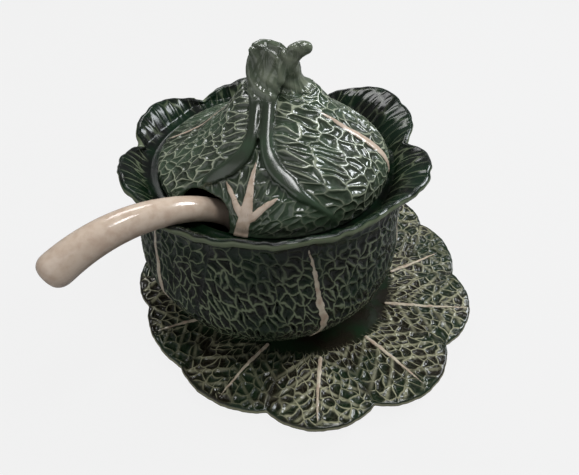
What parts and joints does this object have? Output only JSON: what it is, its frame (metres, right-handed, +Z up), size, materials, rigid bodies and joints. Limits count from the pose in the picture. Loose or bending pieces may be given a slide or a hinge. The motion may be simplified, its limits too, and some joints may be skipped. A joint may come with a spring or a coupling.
{
  "type": "soup tureen",
  "caption": "Cabbage-leaf soup tureen in green glazed earthenware with a lobed leaf underplate, a leaf-wrapped lid with a twisted leaf-tip knob, and a ladle.",
  "frame": {"origin": "centre of the flat foot under the leaf plate, on the table", "axes": "+Z up; -Y faces the viewer; +X to the viewer's right, away from the ladle's handle"},
  "size_m": [0.3381, 0.3317, 0.2549],
  "materials": {
    "green_glaze": "dark green glossy lead-look glaze, paler olive on the raised veins and cream on the midribs",
    "cream_glaze": "glossy cream glaze with a warm blush"
  },
  "bodies": {
    "plate": {"underplate": "green_glaze"},
    "tureen": {"tureen_bowl": "green_glaze"},
    "lid": {"lid": "green_glaze"},
    "ladle": {"ladle": "cream_glaze"}
  },
  "joints": [
    {"name": "tureen_lift", "type": "slide", "parent": "plate", "child": "tureen", "axis": [0, 0, 1], "range_m": [0, 0.12]},
    {"name": "lid_lift", "type": "slide", "parent": "tureen", "child": "lid", "axis": [0, 0, 1], "range_m": [0, 0.26]},
    {"name": "ladle_lift", "type": "slide", "parent": "tureen", "child": "ladle", "axis": [0, 0, 1], "range_m": [0, 0.182]}
  ],
  "couplings": [
    {"joint": "ladle_lift", "follows": "lid_lift", "ratio": 0.7}
  ]
}
